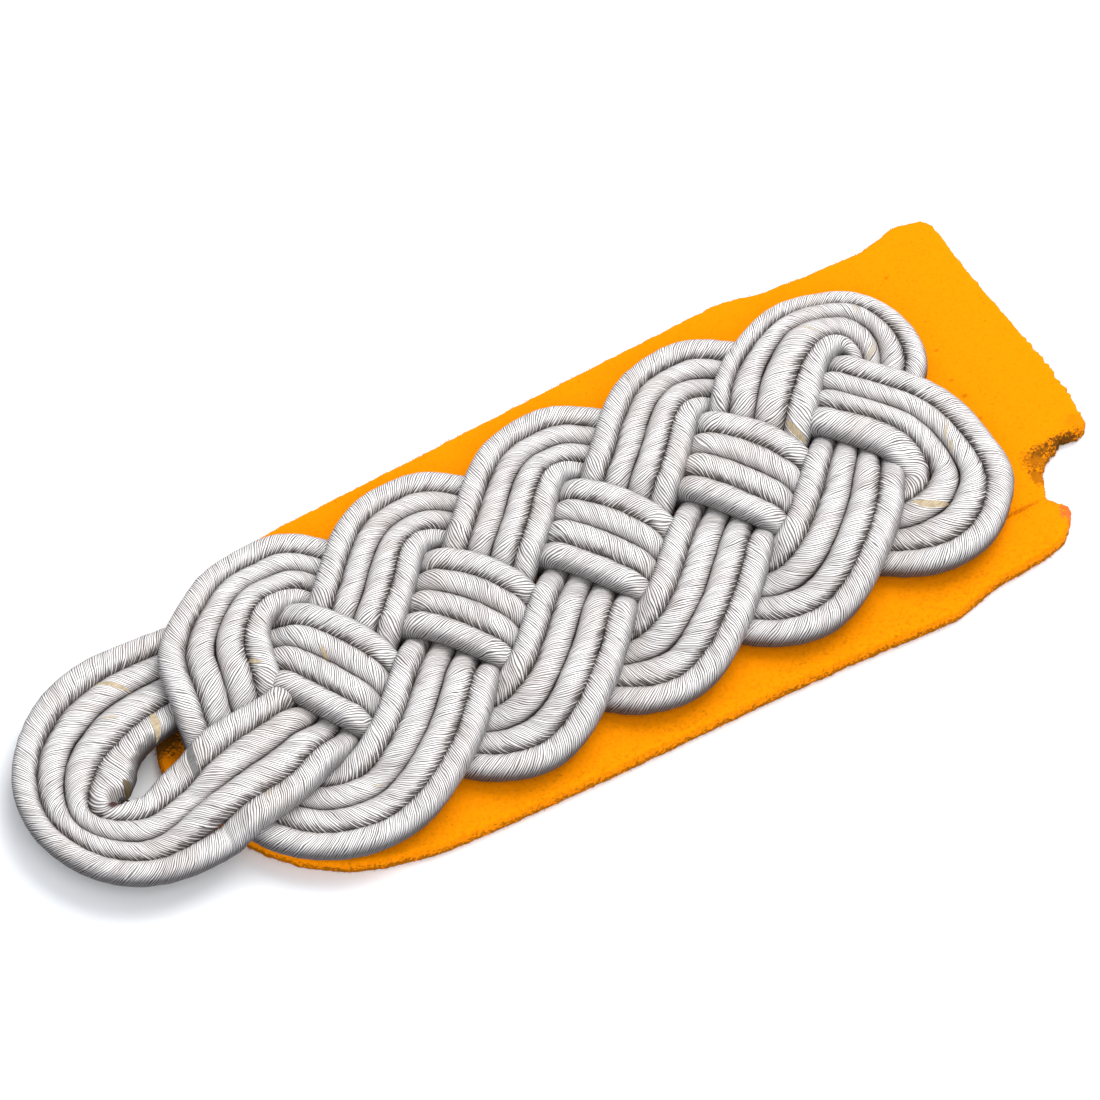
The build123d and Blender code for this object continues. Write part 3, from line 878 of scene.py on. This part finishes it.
def new_group(name, inputs, outputs):
    """An empty node group, the signals that it is given and the node that takes its results.

    An input with a default value is a number, and one without is a vector.
    """
    group = bpy.data.node_groups.new(name, "ShaderNodeTree")
    for title, default in inputs.items():
        kind = "NodeSocketVector" if default is None else "NodeSocketFloat"
        socket = group.interface.new_socket(title, in_out="INPUT", socket_type=kind)
        if default is not None:
            socket.default_value = default
    for title in outputs:
        group.interface.new_socket(title, in_out="OUTPUT", socket_type="NodeSocketFloat")
    given = [Signal(socket) for socket in group.nodes.new("NodeGroupInput").outputs]
    return group, given[: len(inputs)], group.nodes.new("NodeGroupOutput")


def new_material(name):
    """A new material, its Principled shader and each point's place in the object."""
    material = bpy.data.materials.new(name)
    material.use_nodes = True
    place = add("TexCoord", {}, "Object", tree=material.node_tree)
    return material, material.node_tree.nodes["Principled BSDF"], place


def winding_group():
    """Fine wires wound side by side: the gaps between them, their round tops and each one's tone.

    A place across the wires is counted in wires. Its whole part is the wire's number, and with r
    the rest, the wire's top is 4 r (1 - r) high there. Gaps show where it lies below an edge, which
    is higher where the wires have parted, and there at every second wire and some of the others.
    """
    inputs = {"Along": 0.0, "Around": 0.0, "Slant": 0.6, "Pitch": 0.27, "Wander": 0.6, "Parted": 0.0}
    group, given, out = new_group("wire_winding", inputs, ["Gap", "Top", "Tone"])
    along, around, slant, pitch, wander, parted = given
    gap_edge, parted_edge, gap_slope, faintest_gap = 0.90, 0.30, 0.36, 0.72
    widest_wander = 4.0
    wound = along - slant * around
    wires = wound / pitch + cloud(vector(wound, around * 0.35), 0.9) * wander * widest_wander
    wire, part = calc("FLOOR", wires), calc("FRACT", wires)
    top = part * (1.0 - part) * 4.0
    uneven = cloud(vector(wire * 7.31, around * 0.5), 1.0, 1.0)
    uneven = remap(uneven, 0.32, 0.62, faintest_gap, 1.0)
    picked = remap(lot(wire + 0.5), 0.6, 0.9)
    bold = calc("MAXIMUM", calc("PINGPONG", wire, 1.0), picked) * parted
    depth = remap((bold * parted_edge + gap_edge - top) / gap_slope, 0.0, 1.0)
    gap = depth * calc("MAXIMUM", uneven, bold)
    fill(out, {"Gap": gap, "Top": calc("SQRT", top), "Tone": lot(wire)})
    return group


def opening_group():
    """A lens-shaped place where the wires stand apart and show the core between them.

    With r the place along the lens as a share of its half length, it is 1.25 - r r half widths
    wide, less a ragged part.
    """
    sizes = dict(zip(LENS_SIZES, (0.0, 4.4, 1.8, 0.3)))
    inputs = {"Along": 0.0, "Around": 0.0, "Slant": 0.6, **sizes}
    group, given, out = new_group("opened_winding", inputs, ["Bare"])
    along, around, slant, centre_along, centre_around, half_length, half_width = given
    off = around - centre_around
    across = along - centre_along - slant * off
    run = off / half_length
    width = 1.25 - run * run - cloud(vector(along, around), 2.2) * 0.5
    fill(out, {"Bare": remap(width - calc("ABSOLUTE", across) / half_width, -0.05, 0.2)})
    return group


def spot_group():
    """A soft-edged spot about a centre, wide and long as the size says, with a ragged edge."""
    inputs = {"Place": None, "Centre": None, "Size": None, "Raggedness": 0.5}
    group, given, out = new_group("soft_spot", inputs, ["Spot"])
    place, centre, size, raggedness = given
    off = add("VectorMath", {0: place, 1: centre}, operation="SUBTRACT")
    share = add("VectorMath", {0: off, 1: size}, operation="DIVIDE")
    far = add("VectorMath", {0: share}, "Value", operation="LENGTH")
    ragged = (cloud(place, 3.4 / mm, 3.0, 0.6) - 0.5) * raggedness
    fill(out, {"Spot": remap(far + ragged, 1.25, 0.55)})
    return group


def with_stain_and_shade_spots(spot, place, colour, spots, ragged):
    """A colour with soft spots over it, of stains and of painted shade, whose edges are ragged by so
    much.
    """
    for *sizes, spot_colour, strength in spots:
        centre, size = Vector(sizes[:3]) * mm + Vector(to_frame), Vector(sizes[3:]) * mm
        inputs = {"Place": place, "Centre": centre, "Size": size, "Raggedness": ragged}
        colour = tint(add_group(spot, inputs)[0] * strength, colour, spot_colour)
    return colour


def cord_material(number, winding, opening, spot):
    """Silver wire wound on a cord: bright tops, brown gaps of dirt and painted shade, painted shade on
    flanks and undersides, and worn-through places.
    """
    lean, pitch = WINDINGS[number]
    slant = math.tan(math.radians(lean))
    material, skin, place = new_material(f"silver_winding_{number + 1}")
    tree = material.node_tree
    uv = add("UVMap", {}, tree=tree, uv_map="winding")
    along, around = part_of(uv, "X"), part_of(uv, "Y")
    valley, under, opens, side = [
        add("Attribute", {}, "Fac", tree=tree, attribute_name=name)
        for name in ("valley", "underside", "parted", "flank")
    ]

    # The wires, which have parted here and there towards two of the valleys
    parted = opens + (cloud(vector(along * 1.7, around), 1.0, 1.0) - 0.5) * 0.5
    parted = remap(parted, 0.36, 0.90)
    laid = {"Along": along, "Around": around, "Slant": slant}
    wires = {"Pitch": pitch, "Wander": wire_wander, "Parted": parted}
    gap, top, tone = add_group(winding, {**laid, **wires})

    # Silver that differs from wire to wire, tarnished in patches and in bands along the wires
    silver = tint(tone, wire_dark, wire_bright)
    soil = remap(cloud(place, 0.16 / mm, 4.0, 0.6), 0.42, 0.75, 0.0, 0.45)
    silver = tint(soil, silver, tarnish, "MULTIPLY")
    bands = cloud(vector(along - around * slant, around * 0.2), 0.8, 3.0, 0.6)
    silver = tint(remap(bands, 0.42, 0.72, 0.0, 0.45), silver, band_grey, "MULTIPLY")

    # Painted shade that greys the flanks, less so where the wires have parted, and a painted cool
    # reflection that greys the free ones
    flank_shade_share = remap(side, 0.35, 1.0) * (0.60 - opens * 0.45)
    silver = tint(flank_shade_share, silver, flank_shade_grey, "MULTIPLY")
    silver = tint(remap(side - valley, 0.4, 1.0, 0.0, 0.9), silver, free_flank_cool_shade, "MULTIPLY")

    # Dirt and painted shade in the gaps between the wires, more on the flanks and where they have
    # parted, and painted shade in the creases where closed cords meet
    gap_dirt_and_shade_share = gap * (calc("MAXIMUM", parted, remap(side, 0.35, 0.95)) * 0.11 + 0.87)
    silver = tint(gap_dirt_and_shade_share, silver, gap_dirt_and_shade)
    silver = tint(remap(valley - opens, 0.86, 1.0) * 0.85, silver, gap_dirt_and_shade)

    # Painted shade on the undersides, darker low down and lighter towards a neighbour, and spots of
    # painted shade at the kink and by the buttonhole
    low_down = remap(part_of(place, "Z"), 6.3 * mm, 4.9 * mm, 0.35, 0.9)
    shade = remap(under, 0.10, 0.48) * low_down * (1.0 - (valley * 0.45 + opens * 0.4))
    silver = tint(shade, silver, painted_underside_shade, "MULTIPLY")
    spots = [row[1:] for row in CORD_SHADE_SPOTS if row[0] == number]
    colour = with_stain_and_shade_spots(spot, place, silver, spots, 0.6)

    # Places worn through to the core's threads
    fibre = remap(cloud(vector(along * 0.6, around * 5.0), 2.0), 0.3, 0.7, 0.55, 1.0)
    bare = 0.0
    for cord, *lens, share, core in OPENINGS:
        if cord == number:
            seen = add_group(opening, {**laid, **dict(zip(LENS_SIZES, lens))})[0] * share
            threads = tint(1.0, core, vector(fibre, fibre, fibre), "MULTIPLY")
            colour = tint(seen, colour, threads)
            bare = calc("MAXIMUM", bare, seen)

    fill(skin, {
        "Base Color": colour,
        "Metallic": (1.0 - bare) * wire_metallic * (1.0 - gap_dirt_and_shade_share * 0.7),
        "Roughness": gap_dirt_and_shade_share * 0.25 + remap(tone, 0, 1, 0.42, 0.58),
        "Normal": raised(top * (1.0 - bare), 0.9, 0.05 * mm),
    })
    return material


def felt_material(spot):
    """Golden wool felt: matted fibres in slightly different yellows, with specks, scorched edges and
    painted shade by the buttonhole and towards the near edge.
    """
    material, skin, place = new_material("golden_felt")
    fibres = cloud(place, 3.2 / mm, 6.0, 0.72)
    tufts = cloud(place, 0.5 / mm, 3.0)
    grit = cloud(place, 2.4 / mm, 3.0, 0.7)

    # Yellows that differ by fibre and tuft and over broad patches
    colour = tint(remap(fibres * 0.6 + tufts * 0.4, 0.36, 0.66), felt_deep, felt_light)
    colour = tint(remap(cloud(place, 0.07 / mm), 0.35, 0.7, 0.0, 0.25), colour, felt_deep)

    # Brown specks low on the wall and a few on the top, and a brown mottle over all the felt that grows
    # towards the near edge as painted shade
    near_floor = remap(part_of(place, "Z"), 1.9 * mm, 0.2 * mm, -0.16, 0.16)
    colour = tint(remap(grit + near_floor, 0.50, 0.62, 0.0, 0.75), colour, felt_speck_and_shade_brown)
    near_side = remap(part_of(place, "Y"), -17 * mm, -24 * mm)
    mottle_and_near_shade = remap(grit, 0.46, 0.66) * (near_side * 0.24 + 0.10)
    colour = tint(mottle_and_near_shade, colour, felt_speck_and_shade_brown)
    fill(skin, {
        "Base Color": with_stain_and_shade_spots(spot, place, colour, FELT_SPOTS, 2.6),
        "Roughness": remap(fibres, 0.3, 0.7, 0.85, 1.0),
        "Sheen Weight": 0.06,
        "Sheen Roughness": 0.6,
        "Sheen Tint": (*felt_sheen, 1),
        "Specular IOR Level": 0.04,
        "Normal": raised(fibres * 0.7 + tufts * 0.5, 0.8, 0.12 * mm),
    })
    return material


def floor_material():
    """A plain pale floor with the faintest grain."""
    material, skin, place = new_material("pale_floor")
    colour = tint(cloud(place, 400.0), floor_white, floor_grain)
    fill(skin, {"Base Color": colour, "Roughness": 0.9, "Specular IOR Level": 0.0})
    return material


# Where the worked-out plait lies in the CAD frame
outline = np.array(FELT_OUTLINE, float)
felt_low, felt_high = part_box("underlay")
to_frame = np.array(
    [felt_low[0] - outline[:, 0].min() * mm, felt_low[1] - outline[:, 1].min() * mm, felt_low[2]]
)

# The photograph's view: the turn and height of the camera, its long lens and the size of the view
view_turn = math.radians(30.5)
view_height = math.radians(56)
pixels_per_mm = 9.0
photo_size = 1100
lens_length = 1500.0
sensor_width = 36.0
nearest_seen, farthest_seen = 0.05, 200
board_place, board_pixel = (3.5, 11.0), (15.0, 760.0)    # a place in mm, and where it shows
look_height = 4.0          # height in the board that the camera looks at


def add_camera():
    """The camera, looking at the point of the board that the photograph's middle shows."""
    right = Vector((math.cos(view_turn), -math.sin(view_turn), 0))
    level = Vector((math.sin(view_turn), math.cos(view_turn), 0))
    up = level * math.sin(view_height) + Vector((0, 0, math.cos(view_height)))
    back = right.cross(up)
    off_x, off_y = [photo_size / 2 - pixel for pixel in board_pixel]
    from_start = right * off_x / pixels_per_mm - up * off_y / pixels_per_mm
    middle_point = Vector((*board_place, 0)) + from_start
    middle_point += back * ((look_height - middle_point.z) / back.z)
    distance = photo_size / pixels_per_mm * lens_length / sensor_width * mm
    camera = bpy.data.cameras.new("photo_view")
    camera.lens, camera.sensor_width = lens_length, sensor_width
    camera.sensor_fit = "HORIZONTAL"
    camera.clip_start, camera.clip_end = nearest_seen, farthest_seen
    holder = new_object("photo_view", camera)
    place = middle_point * mm + Vector(to_frame) + back * distance
    holder.matrix_world = Matrix.Translation(place) @ Matrix((right, up, back)).transposed().to_4x4()
    bpy.context.scene.camera = holder


def add_light(name, place, size, power):
    """A square soft light at a place, facing the board."""
    lamp = bpy.data.lights.new(name, "AREA")
    lamp.size, lamp.energy = size, power
    holder = new_object(name, lamp)
    holder.location = place
    holder.rotation_euler = Vector(place).to_track_quat("Z", "Y").to_euler()


def add_floor():
    """A wide plain floor under the felt."""
    mesh = bpy.data.meshes.new("floor")
    reach = 3.0
    corners = [(-reach, -reach, 0), (reach, -reach, 0), (reach, reach, 0), (-reach, reach, 0)]
    mesh.from_pydata(corners, [], [(0, 1, 2, 3)])
    floor = new_object("floor", mesh)
    floor.data.materials.append(floor_material())


# The cords
winding, opening, spot = winding_group(), opening_group(), spot_group()
rows, lines = stations(), cord_lines()
for number, line in enumerate(lines):
    left = room_beside(lines, rows, number, number - 1)
    right = room_beside(lines, rows, number, number + 1)
    cord = cord_surface(number, line, left, right)
    cord.data.materials.append(cord_material(number, winding, opening, spot))
    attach(cord, "root")
    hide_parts(f"braid_cord_{number + 1}")

# The felt
felt = felt_surface()
fuzz = felt_fuzz()
golden = felt_material(spot)
for piece in (felt, fuzz):
    piece.data.materials.append(golden)
    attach(piece, "root")
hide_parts("underlay")

# The studio
add_floor()
add_camera()
add_light("softbox", (0.40, 0.18, 0.72), 0.6, 6.0)
add_light("front_fill", (-0.20, -0.65, 0.85), 0.8, 4.4)
world = bpy.data.worlds.new("studio")
world.use_nodes = True
background = world.node_tree.nodes["Background"]
fill(background, {"Color": (*sky_grey, 1), "Strength": sky_strength})
bpy.context.scene.world = world
bpy.context.scene.view_settings.view_transform = "Standard"
